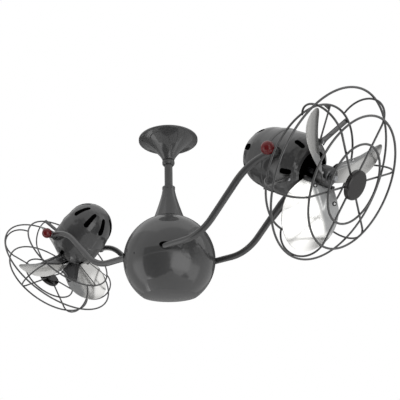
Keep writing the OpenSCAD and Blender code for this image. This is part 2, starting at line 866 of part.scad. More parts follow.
// Places a shape on a blade's plane: X off the plane, Y outwards, Z across the blade
plane_pitch = atan(tan(blade_pitch) * cos(blade_lean));
module on_blade_plane(angle) {
  rotate([angle, 0, 0])
    translate([blade_mid, 0, 0]) rotate([0, 0, -blade_lean]) rotate([0, plane_pitch, 0]) children();
}

// Dark hub: a flared neck on the shaft and three pads that carry the blades
hub_r0 = 23;
pad_t = 3;
pad_in = 16;
pad_out = 62;
pad_rear = -38;
pad_front = 56;
sheet_half = blade_t / 2 * cos(plane_pitch) * cos(blade_lean);
rivet_r = 1.8;
rivet_spots = [[34, -20], [50, 38]]; // along the blade, across it
module rivet_shanks(front) {
  for (q = rivet_spots)
    translate([-sheet_half - pad_t - 1, q[0], q[1]])
      along_x() cylinder(h = sheet_half + pad_t + 1 + front, r = rivet_r);
}
module blade_hub(side) {
  color("darkslategray")
    at_rotor(side)
      difference() {
        union() {
          along_x()
            rotate_extrude()
              polygon([[shaft_r, hub_back], [19, hub_back], [21, hub_back + 8], [hub_r0, hub_back + 16],
                       [hub_r0, hub_front - 4], [hub_r0 - 5, hub_front], [shaft_r, hub_front]]);
          for (a = blade_angles)
            on_blade_plane(a)
              translate([-sheet_half - pad_t, pad_in, pad_rear])
                cube([pad_t, pad_out - pad_in, pad_front - pad_rear]);
        }
        for (a = blade_angles) on_blade_plane(a) rivet_shanks(1);
      }
}

// Outline of a blade: half an ellipse ahead of the middle line and half one behind it
blade_y_axis = blade_tip_r - blade_full_y;
function reach_across(y) = sqrt(max(0, 1 - pow((y - blade_full_y) / blade_y_axis, 2)));
function widening(y) = 1 + blade_taper * (y - blade_full_y) / blade_y_axis;

// The root lies flat on its pad; beyond it the blade twists and bows back
blade_flat = pad_out + 1;
function past_root(y) = max(0, (y - blade_flat) / (blade_tip_r - blade_flat));
function sheet_x(y, w) = blade_mid + y * tan(blade_lean) - blade_bow * pow(past_root(y), 2)
  + w * (tan(blade_pitch) - (tan(blade_pitch) - tan(blade_tip_pitch)) * past_root(y));
flat_rows = 4;
twist_rows = 11;
blade_rows = flat_rows + twist_rows;
blade_cols = 6;
row_from = asin((blade_flat - blade_full_y) / blade_y_axis);
function row_y(i) = i <= flat_rows
  ? blade_root_r + (blade_flat - blade_root_r) * i / flat_rows
  : blade_full_y + blade_y_axis * sin(row_from + (87 - row_from) * (i - flat_rows) / twist_rows);
function sheet_point(i, j, lift) =
  let (y = row_y(i), u = 2 * j / blade_cols - 1,
       w = u * reach_across(y) * widening(y) * (u > 0 ? blade_front_w : blade_rear_w))
  [sheet_x(y, w) + lift, y, w];
module blade() {
  n = blade_cols + 1;
  k = n * (blade_rows + 1);
  top = [for (i = [0 : blade_rows], j = [0 : blade_cols]) sheet_point(i, j, blade_t / 2)];
  low = [for (i = [0 : blade_rows], j = [0 : blade_cols]) sheet_point(i, j, -blade_t / 2)];
  quads = [for (i = [0 : blade_rows - 1], j = [0 : blade_cols - 1])
    [i * n + j, i * n + j + 1, (i + 1) * n + j + 1, (i + 1) * n + j]];
  top_faces = [for (q = quads) each [[q[0], q[1], q[2]], [q[0], q[2], q[3]]]];
  low_faces = [for (q = quads) each [[q[0] + k, q[2] + k, q[1] + k], [q[0] + k, q[3] + k, q[2] + k]]];
  edge = concat([for (j = [0 : blade_cols - 1]) j], [for (i = [0 : blade_rows - 1]) i * n + blade_cols],
    [for (j = [blade_cols : -1 : 1]) blade_rows * n + j], [for (i = [blade_rows : -1 : 1]) i * n]);
  side_faces = [for (e = [0 : len(edge) - 1])
    let (p = edge[e], q = edge[(e + 1) % len(edge)]) each [[p, p + k, q + k], [p, q + k, q]]];
  polyhedron(points = concat(top, low), faces = concat(top_faces, low_faces, side_faces));
}

module blades(side) {
  color(blade_metal)
    at_rotor(side)
      difference() {
        for (a = blade_angles) rotate([a, 0, 0]) blade();
        for (a = blade_angles) on_blade_plane(a) rivet_shanks(3);
      }
}

// Two rivets through each blade's root and its pad
module blade_rivets(side) {
  color("gainsboro")
    at_rotor(side)
      for (a = blade_angles)
        on_blade_plane(a) {
          rivet_shanks(eps);
          for (q = rivet_spots, x = [sheet_half, -sheet_half - pad_t - 1.5])
            translate([x, q[0], q[1]]) along_x() cylinder(h = 1.5, r = 3.4);
        }
}

// ---------------------------------------------------------------- cage

ring_r = ring_d / 2;
wire_r = wire_d / 2;
strut_r = strut_d / 2;
weld = ring_r + wire_r;
bite = 0.3;
turn_r = (front_ring_x - rear_ring_x - weld) / 2;
turn_centre_r = cage_r - weld - turn_r;
turn_mid = front_ring_x - sqrt(pow(turn_r + weld - bite, 2) - pow(front_ring_r - turn_centre_r, 2));
wire_x = turn_mid + turn_r;
small_ring_x = wire_x + weld - bite;
turn_twist = -6.6;

module wire_ring(x, r) {
  along_x() translate([0, 0, x]) rotate_extrude($fn = 120) translate([r, 0]) circle(r = ring_r, $fn = 16);
}

module cage_rings(side) {
  color(dark_paint)
    at_head(side) {
      wire_ring(cage_mid_x, cage_r);
      wire_ring(front_ring_x, front_ring_r);
      wire_ring(small_ring_x, small_ring_r);
      wire_ring(rear_ring_x, rear_ring_r);
    }
}

// One wire: straight from the hub over the front rings, then round to the rear ring
wire_start = 9;
wire_turn = 180 - asin((rear_ring_r - turn_centre_r) / turn_r);
module cage_wire() {
  translate([wire_x, wire_start, 0])
    rotate([-90, 0, 0]) cylinder(h = turn_centre_r - wire_start, r = wire_r, $fn = 16);
  translate([wire_x, turn_centre_r, 0])
    rotate([-90, 0, 0]) cylinder(h = joint_len, r = wire_r + joint_swell, center = true, $fn = 16);
  translate([wire_x, turn_centre_r, 0])
    rotate([0, turn_twist, 0])
      translate([-turn_r, 0, 0])
        rotate_extrude(angle = wire_turn, $fn = 96) translate([turn_r, 0]) circle(r = wire_r, $fn = 16);
}

module cage_wires(side) {
  color(dark_paint)
    at_head(side)
      for (a = wire_angles) rotate([a, 0, 0]) cage_wire();
}

// A strut from a lug on the motor shell out to the rear ring
module strut(from_angle, to_angle) {
  r0 = lug_r + 3;
  p = [lug_x, r0 * cos(from_angle), r0 * sin(from_angle)];
  q = [rear_ring_x - ring_r - strut_r + 0.8, rear_ring_r * cos(to_angle), rear_ring_r * sin(to_angle)];
  d = q - p;
  translate(p) rotate([0, acos(d[2] / norm(d)), atan2(d[1], d[0])]) cylinder(h = norm(d), r = strut_r, $fn = 16);
}

strut_spread = 16;
module cage_struts(side) {
  color(dark_paint)
    at_head(side)
      union() {
        for (a = lug_angles, s = [-1, 1]) strut(a + s * 3, a + s * strut_spread);
        for (a = side_lug_angles) strut(a, a + (a < 0 ? 4 : -4));
      }
}

// Bare round cap over the middle of the cage: a cup in front of the wires, tied by
// a post to a plate behind them
cap_h = 11;
cap_wall = 2;
module cage_cap(side) {
  rim = wire_x + wire_r - bite;
  top = rim + cap_h;
  plate = wire_x - wire_r + bite;
  color(dark_paint)
    at_head(side)
      along_x()
        union() {
          rotate_extrude()
            polygon([[0, top], [0, top - cap_wall], [badge_r - 5, top - cap_wall],
                     [badge_r - cap_wall, top - 5], [badge_r - cap_wall, rim], [badge_r, rim],
                     [badge_r, top - 4], [badge_r - 1, top - 1.5], [badge_r - 4, top]]);
          translate([0, 0, plate - cap_wall]) cylinder(h = top - plate, r = 5);
          translate([0, 0, plate - cap_wall]) cylinder(h = cap_wall, r = 24);
        }
}

// Screws that hold the struts to the lugs
module cage_screws(side) {
  color(steel)
    at_head(side)
      for (a = concat(lug_angles, side_lug_angles))
        rotate([a, 0, 0])
          translate([lug_x + 6, lug_r + 1, 0]) along_x() cylinder(h = 2.4, r = 3.5);
}

// ---------------------------------------------------------------- parts

hanger_bracket();
hanger_ball();
hanger_pin();
downrod();
canopy();
canopy_collar();
neck_cone();
rod_coupling();
coupling_pins();
spindle();
spindle_nut();
slip_ring();
upper_shell();
lower_shell();
bottom_cap();
turning_hub();
hub_bearings();
tube_clamps();
clamp_screws();
tube_grommets();
front_yoke_tube();
rear_yoke_tube();
brush_block();
rear_motor_shell(1);  // rear_motor_shell_right
front_motor_shell(1);  // front_motor_shell_right
stator(1);  // stator_right
shaft_bearings(1);  // shaft_bearings_right
motor_shaft(1);  // motor_shaft_right
rotor_core(1);  // rotor_core_right
far_pivot_bolt(1);  // far_pivot_bolt_right
pivot_washers(1);  // pivot_washers_right
knob(1);  // knob_right
knob_stud(1);  // knob_stud_right
blade_hub(1);  // blade_hub_right
blades(1);  // blades_right
blade_rivets(1);  // blade_rivets_right
cage_rings(1);  // cage_rings_right
cage_wires(1);  // cage_wires_right
cage_struts(1);  // cage_struts_right
cage_cap(1);  // cage_cap_right
cage_screws(1);  // cage_screws_right
rear_motor_shell(-1);  // rear_motor_shell_left
front_motor_shell(-1);  // front_motor_shell_left
stator(-1);  // stator_left
shaft_bearings(-1);  // shaft_bearings_left
motor_shaft(-1);  // motor_shaft_left
rotor_core(-1);  // rotor_core_left
far_pivot_bolt(-1);  // far_pivot_bolt_left
pivot_washers(-1);  // pivot_washers_left
knob(-1);  // knob_left
knob_stud(-1);  // knob_stud_left
blade_hub(-1);  // blade_hub_left
blades(-1);  // blades_left
blade_rivets(-1);  // blade_rivets_left
cage_rings(-1);  // cage_rings_left
cage_wires(-1);  // cage_wires_left
cage_struts(-1);  // cage_struts_left
cage_cap(-1);  // cage_cap_left
cage_screws(-1);  // cage_screws_left
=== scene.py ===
import json
import math

import bpy
import bmesh
from mathutils import Matrix, Vector


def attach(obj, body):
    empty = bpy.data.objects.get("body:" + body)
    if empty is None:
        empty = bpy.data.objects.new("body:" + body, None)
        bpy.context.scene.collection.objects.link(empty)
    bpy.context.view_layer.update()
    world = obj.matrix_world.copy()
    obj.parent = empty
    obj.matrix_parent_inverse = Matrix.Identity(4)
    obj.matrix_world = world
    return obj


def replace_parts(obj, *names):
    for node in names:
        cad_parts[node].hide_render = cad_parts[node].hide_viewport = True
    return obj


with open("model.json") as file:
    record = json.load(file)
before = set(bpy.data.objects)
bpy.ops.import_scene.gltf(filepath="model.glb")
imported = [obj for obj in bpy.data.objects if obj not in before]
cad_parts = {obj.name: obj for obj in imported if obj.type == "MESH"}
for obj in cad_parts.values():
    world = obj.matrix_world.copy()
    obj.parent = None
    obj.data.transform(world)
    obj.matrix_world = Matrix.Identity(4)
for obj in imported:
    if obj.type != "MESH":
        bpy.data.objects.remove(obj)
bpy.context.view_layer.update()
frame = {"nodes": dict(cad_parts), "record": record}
MM = 0.001
IN_METRES = Matrix.Scale(MM, 4)

# ------------------------------------------------------------------ sizes, in mm and degrees
CENTRE_Z = -372.0
GLOBE_R = 127.3
PIVOT_X = 409.5
PIVOT_Z = CENTRE_Z + 149.545
REST_TILT = 34.4
ROTOR_TURN = {"right": 34.0, "left": -27.0}
BLADE_ANGLES = (0, 120, 240)
SIDES = {"right": 1, "left": -1}
# facets round a turned piece
COVER_STEPS, SHELL_STEPS, KNOB_STEPS, SMALL_STEPS = 144, 96, 64, 24
# radius that stands for the axis itself in a turned profile
AXIS_R = 0.01


# ------------------------------------------------------------------ shapes
def turned(profile, steps):
    """A closed (radius, height) profile turned round the z axis."""
    verts, faces = [], []
    n = len(profile)
    for i in range(steps):
        c, s = math.cos(2 * math.pi * i / steps), math.sin(2 * math.pi * i / steps)
        verts += [(r * c, r * s, z) for r, z in profile]
        k, m = i * n, (i + 1) % steps * n
        faces += [(k + j, k + (j + 1) % n, m + (j + 1) % n, m + j) for j in range(n)]
    return verts, faces


def patch(point, rows, cols):
    """A closed thin patch; point(s, t, layer) gives a corner, s and t from 0 to 1."""
    verts = [point(i / rows, j / cols, layer)
             for layer in (0, 1) for i in range(rows + 1) for j in range(cols + 1)]
    n, k = cols + 1, (cols + 1) * (rows + 1)
    faces = []
    for i in range(rows):
        for j in range(cols):
            q = i * n + j
            faces += [(q, q + 1, q + n + 1, q + n), (q + k, q + k + n, q + k + n + 1, q + k + 1)]
    edge = ([j for j in range(cols)] + [i * n + cols for i in range(rows)]
            + [rows * n + j for j in range(cols, 0, -1)] + [i * n for i in range(rows, 0, -1)])
    faces += [(a, a + k, b + k, b) for a, b in zip(edge, edge[1:] + edge[:1])]
    return verts, faces


def joined(shapes):
    """Several shapes as one."""
    verts, faces = [], []
    for more_verts, more_faces in shapes:
        faces += [tuple(v + len(verts) for v in face) for face in more_faces]
        verts += more_verts
    return verts, faces


def moved(shape, place):
    verts, faces = shape
    return [place @ Vector(v) for v in verts], faces


# ------------------------------------------------------------------ places and pieces
def head_matrix(side):
    """Head frame (X out along the axis, pivot at the origin, mm) to the world in metres."""
    turn = Matrix.Rotation(0 if SIDES[side] > 0 else math.pi, 4, "Z")
    return (turn @ Matrix.Translation((PIVOT_X * MM, 0, PIVOT_Z * MM))
            @ Matrix.Rotation(math.radians(REST_TILT), 4, "Y") @ IN_METRES)


def blade_spins(side):
    """Turns of the three blades round their head's axis."""
    return [Matrix.Rotation(math.radians(ROTOR_TURN[side] + angle), 4, "X")
            for angle in BLADE_ANGLES]


def on_globe(az, el, r):
    az, el = math.radians(az), math.radians(el)
    return Vector((r * math.cos(el) * math.cos(az), r * math.cos(el) * math.sin(az),
                   CENTRE_Z + r * math.sin(el)))


def add_piece(name, shape, mat, body, place=IN_METRES):
    verts, faces = shape
    mesh = bpy.data.meshes.new(name)
    mesh.from_pydata([place @ Vector(v) for v in verts], [], faces)
    mesh.validate()
    bm = bmesh.new()
    bm.from_mesh(mesh)
    bmesh.ops.recalc_face_normals(bm, faces=bm.faces)
    bm.to_mesh(mesh)
    bm.free()
    for poly in mesh.polygons:
        poly.use_smooth = True
    mesh.materials.append(mat)
    obj = bpy.data.objects.new(name, mesh)
    bpy.context.scene.collection.objects.link(obj)
    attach(obj, body)
    return obj


def lathe(name, profile, mat, body, steps, place=IN_METRES):
    return add_piece(name, turned(profile, steps), mat, body, place)


# ------------------------------------------------------------------ shader helpers
CLOUD_DETAIL, CLOUD_ROUGH = 3.0, 0.55
# share of a cloud at which its darker and its lighter colour are reached
CLOUD_LOW, CLOUD_HIGH = 0.3, 0.7
# spread of a plain metal's colour and roughness round the value asked for
SHADE_LOW, SHADE_HIGH = 0.9, 1.08
ROUGH_LOW, ROUGH_HIGH = 0.85, 1.15


def new_material(name):
    mat = bpy.data.materials.new(name)
    mat.use_nodes = True
    tree = mat.node_tree
    return mat, tree, tree.nodes["Principled BSDF"]


def link(tree, a, out, b, inp):
    tree.links.new(a.outputs[out], b.inputs[inp])


def add_noise(tree, scale, detail=CLOUD_DETAIL, rough=CLOUD_ROUGH, coords=None):
    """Noise in the object's own space, or in the space that a mapping node gives."""
    node = tree.nodes.new("ShaderNodeTexNoise")
    node.inputs["Scale"].default_value = scale
    node.inputs["Detail"].default_value = detail
    node.inputs["Roughness"].default_value = rough
    if coords is None:
        link(tree, tree.nodes.new("ShaderNodeTexCoord"), "Object", node, "Vector")
    else:
        link(tree, coords, "Vector", node, "Vector")
    return node


def add_ramp(tree, src, low, high):
    ramp = tree.nodes.new("ShaderNodeValToRGB")
    els = ramp.color_ramp.elements
    els[0].position, els[0].color = CLOUD_LOW, low
    els[1].position, els[1].color = CLOUD_HIGH, high
    link(tree, src, "Fac", ramp, "Fac")
    return ramp


def grey(v, tint=0.0):
    return (v, v, v * (1 + tint), 1)


def math_node(tree, op, a, b=None):
    node = tree.nodes.new("ShaderNodeMath")
    node.operation = op
    for k, v in enumerate((a, b)):
        if v is None:
            continue
        if isinstance(v, (int, float)):
            node.inputs[k].default_value = v
        else:
            tree.links.new(v, node.inputs[k])
    return node.outputs[0]


def colour_mix(tree, factor, a, b=None):
    node = tree.nodes.new("ShaderNodeMix")
    node.data_type = "RGBA"
    tree.links.new(factor, node.inputs["Factor"])
    tree.links.new(a, node.inputs["A"])
    if b is not None:
        tree.links.new(b, node.inputs["B"])
    return node


def dot(tree, vec, axis):
    node = tree.nodes.new("ShaderNodeVectorMath")
    node.operation = "DOT_PRODUCT"
    tree.links.new(vec, node.inputs[0])
    node.inputs[1].default_value = axis
    return node.outputs["Value"]


def fade(tree, val, inside, outside):
    node = tree.nodes.new("ShaderNodeMapRange")
    node.interpolation_type = "SMOOTHSTEP"
    node.inputs["From Min"].default_value = outside
    node.inputs["From Max"].default_value = inside
    tree.links.new(val, node.inputs["Value"])
    return node.outputs["Result"]


# ------------------------------------------------------------------ materials
PAINT_DARK, PAINT_LIGHT, PAINT_TINT = 0.037, 0.041, 0.02
PAINT_ROUGH, PAINT_COAT_ROUGH, PAINT_CLOUD = 0.5, 0.04, 9.0
RUBBER_DARK, RUBBER_LIGHT, RUBBER_ROUGH, RUBBER_GRAIN = 0.010, 0.018, 0.6, 500.0
RUBBER_BUMP, RUBBER_BUMP_DEPTH = 0.2, 0.0002
RED_DARK, RED_LIGHT = (0.105, 0.0012, 0.003, 1), (0.135, 0.002, 0.004, 1)
RED_ROUGH, RED_CLOUD, RED_DETAIL = 0.16, 80.0, 2.0


def dark_paint():
    mat, tree, bsdf = new_material("dark_paint")
    bsdf.inputs["Metallic"].default_value = 0.0
    bsdf.inputs["Roughness"].default_value = PAINT_ROUGH
    bsdf.inputs["Coat Weight"].default_value = 1.0
    bsdf.inputs["Coat Roughness"].default_value = PAINT_COAT_ROUGH
    cloud = add_noise(tree, PAINT_CLOUD)
    ramp = add_ramp(tree, cloud, grey(PAINT_DARK, PAINT_TINT), grey(PAINT_LIGHT, PAINT_TINT))
    link(tree, ramp, "Color", bsdf, "Base Color")
    return mat


def plain_metal(name, colour, rough, metallic=1.0, grain=220.0):
    mat, tree, bsdf = new_material(name)
    bsdf.inputs["Metallic"].default_value = metallic
    cloud = add_noise(tree, grain)
    low = [c * SHADE_LOW for c in colour] + [1]
    high = [min(1, c * SHADE_HIGH) for c in colour] + [1]
    link(tree, add_ramp(tree, cloud, low, high), "Color", bsdf, "Base Color")
    spread = add_ramp(tree, cloud, grey(rough * ROUGH_LOW), grey(rough * ROUGH_HIGH))
    link(tree, spread, "Color", bsdf, "Roughness")
    return mat


def rubber():
    mat, tree, bsdf = new_material("black_rubber")
    fine = add_noise(tree, RUBBER_GRAIN)
    ramp = add_ramp(tree, fine, grey(RUBBER_DARK), grey(RUBBER_LIGHT))
    link(tree, ramp, "Color", bsdf, "Base Color")
    bsdf.inputs["Roughness"].default_value = RUBBER_ROUGH
    bump = tree.nodes.new("ShaderNodeBump")
    bump.inputs["Strength"].default_value = RUBBER_BUMP
    bump.inputs["Distance"].default_value = RUBBER_BUMP_DEPTH
    link(tree, fine, "Fac", bump, "Height")
    link(tree, bump, "Normal", bsdf, "Normal")
    return mat


def red_knob():
    mat, tree, bsdf = new_material("red_gloss")
    cloud = add_noise(tree, RED_CLOUD, RED_DETAIL)
    link(tree, add_ramp(tree, cloud, RED_DARK, RED_LIGHT), "Color", bsdf, "Base Color")
    bsdf.inputs["Roughness"].default_value = RED_ROUGH
    return mat


# the sheet's map spans this length both along and across the blade, in mm
SHEET_SPAN, SHEET_MID = 200.0, 0.5
# border (along, across) of the grey root area, painted as shade where the folded sheet looks
# darker, its soft edge, and where it ends outwards
SHADE_WEDGE = ((35.5, -17.0), (110.0, 25.7))
SHADE_WEDGE_IN, SHADE_WEDGE_OUT = 11.0, -1.0
SHADE_WEDGE_END = (112.0, 134.0)
SHADE_WEDGE_ROUGH, SHADE_WEDGE_UNMETAL = 0.25, 0.45
GRAIN_STRETCH, GRAIN_SCALE = (4.0, 70.0, 1.0), 3.0
GRAIN_DETAIL, GRAIN_ROUGH = 4.0, 0.5
BRIGHT_SHEET = (0.78, 0.775, 0.755, 1), (0.82, 0.815, 0.795, 1)
# darker grey of the root area: painted shade
PAINTED_SHADE_SHEET = (0.34, 0.345, 0.345, 1), (0.44, 0.445, 0.445, 1)
# near white along the pressed V: painted highlight on its ridge
PRESSED_HIGHLIGHT = (0.95, 0.95, 0.94, 1)
SHEET_ROUGH = 0.19, 0.23


def blade_metal():
    """Polished sheet: a grey flat root area, brighter beyond it, with a faint brushed grain. The
    root's grey is painted shade, and the pressed V's near white is a painted highlight.
    """
    mat, tree, bsdf = new_material("blade_metal")
    uv = tree.nodes.new("ShaderNodeUVMap")
    split = tree.nodes.new("ShaderNodeSeparateXYZ")
    link(tree, uv, "UV", split, "Vector")
    along = math_node(tree, "MULTIPLY", split.outputs["X"], SHEET_SPAN)
    centred = math_node(tree, "SUBTRACT", split.outputs["Y"], SHEET_MID)
    across = math_node(tree, "MULTIPLY", centred, SHEET_SPAN)
    # the root area is painted darker grey as shade, and is also made rougher and less metallic
    (y0, w0), (y1, w1) = SHADE_WEDGE
    slope = (w1 - w0) / (y1 - y0)
    line = math_node(tree, "ADD", math_node(tree, "MULTIPLY", along, slope), w0 - y0 * slope)
    side = fade(tree, math_node(tree, "SUBTRACT", across, line), SHADE_WEDGE_IN, SHADE_WEDGE_OUT)
    shade_wedge = math_node(tree, "MULTIPLY", side, fade(tree, along, *SHADE_WEDGE_END))
    brush = tree.nodes.new("ShaderNodeMapping")
    brush.inputs["Scale"].default_value = GRAIN_STRETCH
    link(tree, uv, "UV", brush, "Vector")
    grain = add_noise(tree, GRAIN_SCALE, GRAIN_DETAIL, GRAIN_ROUGH, brush)
    bright = add_ramp(tree, grain, *BRIGHT_SHEET)
    dull = add_ramp(tree, grain, *PAINTED_SHADE_SHEET)
    mix = colour_mix(tree, shade_wedge, bright.outputs["Color"], dull.outputs["Color"])
    # the pressed V is painted near white: a painted highlight
    press_highlight = tree.nodes.new("ShaderNodeAttribute")
    press_highlight.attribute_name = "press_highlight"
    edge = colour_mix(tree, press_highlight.outputs["Fac"], mix.outputs["Result"])
    edge.inputs["B"].default_value = PRESSED_HIGHLIGHT
    tree.links.new(edge.outputs["Result"], bsdf.inputs["Base Color"])
    spread = add_ramp(tree, grain, *(grey(v) for v in SHEET_ROUGH))
    rougher = math_node(tree, "MULTIPLY", shade_wedge, SHADE_WEDGE_ROUGH)
    tree.links.new(math_node(tree, "ADD", spread.outputs["Color"], rougher),
                   bsdf.inputs["Roughness"])
    unmetal = math_node(tree, "MULTIPLY", shade_wedge, SHADE_WEDGE_UNMETAL)
    tree.links.new(math_node(tree, "SUBTRACT", 1.0, unmetal), bsdf.inputs["Metallic"])
    return mat


MATS = {
    "dark_paint": dark_paint(),
    "zinc_steel": plain_metal("zinc_steel", (0.55, 0.56, 0.58), 0.35),
    "bearing_steel": plain_metal("bearing_steel", (0.75, 0.75, 0.76), 0.22),
    "black_rubber": rubber(),
    # copper winding darkened nearly to black: painted shade for the motor's dark inside
    "copper_winding": plain_metal("copper_winding", (0.030, 0.014, 0.008), 0.7, 0.2),
    "blade_metal": blade_metal(),
    "dark_hub": plain_metal("dark_hub", (0.035, 0.035, 0.037), 0.4, 0.5),
    "red_gloss": red_knob(),
    "cast_alloy": plain_metal("cast_alloy", (0.42, 0.43, 0.44), 0.45),
}
MATS["dark_alloy"] = MATS["dark_paint"]
CAP_ENAMEL = plain_metal("cap_enamel", (0.014, 0.012, 0.012), 0.2, 0.0, 60.0)
ARM_METAL = plain_metal("arm_metal", (0.12, 0.12, 0.122), 0.3, 1.0, 60.0)
RIVET_STEEL = plain_metal("rivet_steel", (0.85, 0.85, 0.85), 0.3)
# near-black, unreflecting sheets laid over tube entries, rear slots and the motor's front opening:
# painted shade
PAINTED_SHADE_BLACK = plain_metal("painted_shade_black", (0.0012, 0.0012, 0.0012), 0.9, 0.0)
PAINTED_SHADE_BLACK.node_tree.nodes["Principled BSDF"].inputs["Specular IOR Level"].default_value = 0.0


def dress_frame_pieces():
    slot_of = {s["node"]: s["material_slot"] for s in frame["record"]["subparts"]}
    for node_name, obj in frame["nodes"].items():
        for slot in obj.material_slots:
            slot.material = MATS[slot_of[node_name]]
            if node_name.startswith("cage_cap"):
                slot.material = CAP_ENAMEL


dress_frame_pieces()

# ------------------------------------------------------------------ canopy
CANOPY_R, CANOPY_H, CANOPY_RIM = 87.0, 68.0, 5.0
THROAT_R, CANOPY_BOW, COVER_T = 17.4, 1.45, 2.0
CANOPY_POINTS = 60
RIM_TOP, RIM_ROUND, RIM_LIP = 0.1, 0.6, 1.0


def canopy_line(off):
    """The trumpet's line from its throat to its rim, moved inwards by off."""
    line = []
    for k in range(CANOPY_POINTS + 1):
        t = math.radians(90 / CANOPY_POINTS * k)
        c, s = math.cos(t), math.sin(t)
        line.append((CANOPY_R - (CANOPY_R - THROAT_R) * c ** CANOPY_BOW - off * c,
                     -CANOPY_H + (CANOPY_H - CANOPY_RIM) * s ** CANOPY_BOW + off * s))
    return line


def build_canopy():
    rim = [(CANOPY_R, -CANOPY_RIM + RIM_LIP), (CANOPY_R, -RIM_ROUND),
           (CANOPY_R - RIM_ROUND, -RIM_TOP), (CANOPY_R - COVER_T, -RIM_TOP),
           (CANOPY_R - COVER_T, -CANOPY_RIM + COVER_T)]
    profile = canopy_line(0) + rim + canopy_line(COVER_T)[-2::-1]
    obj = lathe("canopy_cover", profile, MATS["dark_alloy"], "ceiling_mount",
                COVER_STEPS)
    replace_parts(obj, "canopy")


# ------------------------------------------------------------------ round housing
BORE_AZ, BORE_EL, BORE_HALF_AZ, BORE_HALF_EL = 53.9, 1.6, 5.6, 3.3
BORE_PROUD, BORE_SUNK, BORE_REACH = 1.6, 1.0, 0.995
BORE_MESH = 28, 8
SCREW_AZ = (-94.6, 7.6, 85.4, 187.6)
SCREW_EL = -3.1
SCREW_LINE = ((2.7, -2.0), (2.7, 0.2), (2.2, 0.6), (1.2, 0.5), (AXIS_R, 0.1), (AXIS_R, -2.0))


def bore_shade_patch(az):
    """Black patch round a tube where it enters the housing: painted shade in the gap round the
    tube.
    """
    def point(s, t, layer):
        x = BORE_REACH * (2 * s - 1)
        half = BORE_HALF_EL * math.sqrt(1 - x * x)
        r = GLOBE_R - BORE_SUNK if layer else GLOBE_R + BORE_PROUD
        return on_globe(az + BORE_HALF_AZ * x, BORE_EL + half * (2 * t - 1), r)
    return patch(point, *BORE_MESH)


def build_globe_details():
    bore_shades = [bore_shade_patch(az) for az in (-BORE_AZ, BORE_AZ - 180, BORE_AZ, 180 - BORE_AZ)]
    # near-black patches round the four tube entries: painted shade
    add_piece("bore_painted_shade", joined(bore_shades), PAINTED_SHADE_BLACK, "yoke")
    for k, az in enumerate(SCREW_AZ):
        at = on_globe(az, SCREW_EL, GLOBE_R)
        out = (at - Vector((0, 0, CENTRE_Z))).to_track_quat("Z", "Y").to_matrix().to_4x4()
        lathe(f"seam_screw_{k}", SCREW_LINE, MATS["dark_hub"], "yoke",
              SMALL_STEPS, IN_METRES @ Matrix.Translation(at) @ out)


# ------------------------------------------------------------------ motor openings: black sheets as painted shade
BODY_R, OPEN_R, FRONT_LEN = 78.5, 38.0, 52.0
DOME_R, DOME_BACK = 75.0, 70.0
VENTS, VENT_TURN = 8, 3.0
VENT_IN, VENT_OUT, VENT_W_IN, VENT_W_OUT = 30.5, 73.5, 5.6, 8.6
# share of a vent's length that is round, and the share of its width left at the very end
VENT_ROUND, VENT_END = 0.16, 0.02
VENT_PROUD, VENT_SUNK = 0.3, 1.2
VENT_MESH = 24, 6
# black liner inside the front shell and black disc at its opening: painted shade for the motor's
# dark inside
SHADE_LINER_R = OPEN_R + 2
SHADE_LINER_DEPTHS, SHADE_LINER_TO, SHADE_LINER_STEP = (3.2, 4.6), 85, 5
OPENING_SHADE_LINE = ((20.0, 51.4), (46.6, 51.4), (46.6, 52.5), (45.0, 52.7), (20.0, 52.7))


def vent_shade_patch(turn):
    """Black patch over one rear slot, a strip along the dome that widens outwards, with round ends:
    painted shade for the slot's dark inside.
    """
    def point(s, t, layer):
        end = min(1.0, s / VENT_ROUND, (1 - s) / VENT_ROUND)
        half = VENT_W_IN + (VENT_W_OUT - VENT_W_IN) * s
        half *= math.sqrt(max(VENT_END, 1 - (1 - end) ** 2))
        a = math.radians(VENT_IN + (VENT_OUT - VENT_IN) * s)
        r = DOME_R - VENT_SUNK if layer else DOME_R + VENT_PROUD
        b = math.radians(turn) + half * (2 * t - 1) / (r * math.sin(a))
        return (-DOME_BACK - r * math.cos(a), r * math.sin(a) * math.cos(b),
                r * math.sin(a) * math.sin(b))
    return patch(point, *VENT_MESH)


def shade_liner_line(off):
    """Line of a black liner inside the front shell, from its widest place to its opening; the liner
    is painted shade for the motor's dark inside.
    """
    return [(SHADE_LINER_R + (BODY_R - off - SHADE_LINER_R) * math.cos(math.radians(t)),
             (FRONT_LEN - off) * math.sin(math.radians(t))) for t in range(0, SHADE_LINER_TO, SHADE_LINER_STEP)]


def build_motor_shade_sheets(side):
    head, body = head_matrix(side), f"head_{side}"
    # near-black patches over the rear slots: painted shade
    vent_shades = [vent_shade_patch(VENT_TURN + 360 / VENTS * k) for k in range(VENTS)]
    add_piece(f"rear_slot_painted_shade_{side}", joined(vent_shades), PAINTED_SHADE_BLACK, body, head)
    along = head @ Matrix.Rotation(math.radians(90), 4, "Y")
    # near-black liner inside the front shell: painted shade
    outer, inner = (shade_liner_line(off) for off in SHADE_LINER_DEPTHS)
    lathe(f"front_shade_liner_{side}", outer + inner[::-1], PAINTED_SHADE_BLACK, body,
          SHELL_STEPS, along)
    # near-black disc across the front opening: painted shade
    lathe(f"front_opening_shade_{side}", OPENING_SHADE_LINE, PAINTED_SHADE_BLACK, body,
          SHELL_STEPS, along)


# ------------------------------------------------------------------ cage straps
LUG_X, LUG_R = 36.0, 71.0
REAR_RING_X, REAR_RING_R = 45.4, 152.0
# turn at the lug, turn at the ring, twist sense, whether the end runs on along the ring
STRAPS = ((91, 104, 1, True), (85, 72, -1, False), (271, 284, 1, True), (265, 252, -1, False),
          (-38, -34, 1, False), (218, 214, -1, False))
STRAP_TWIST, STRAP_W, STRAP_T = 25.0, 12.0, 3.0
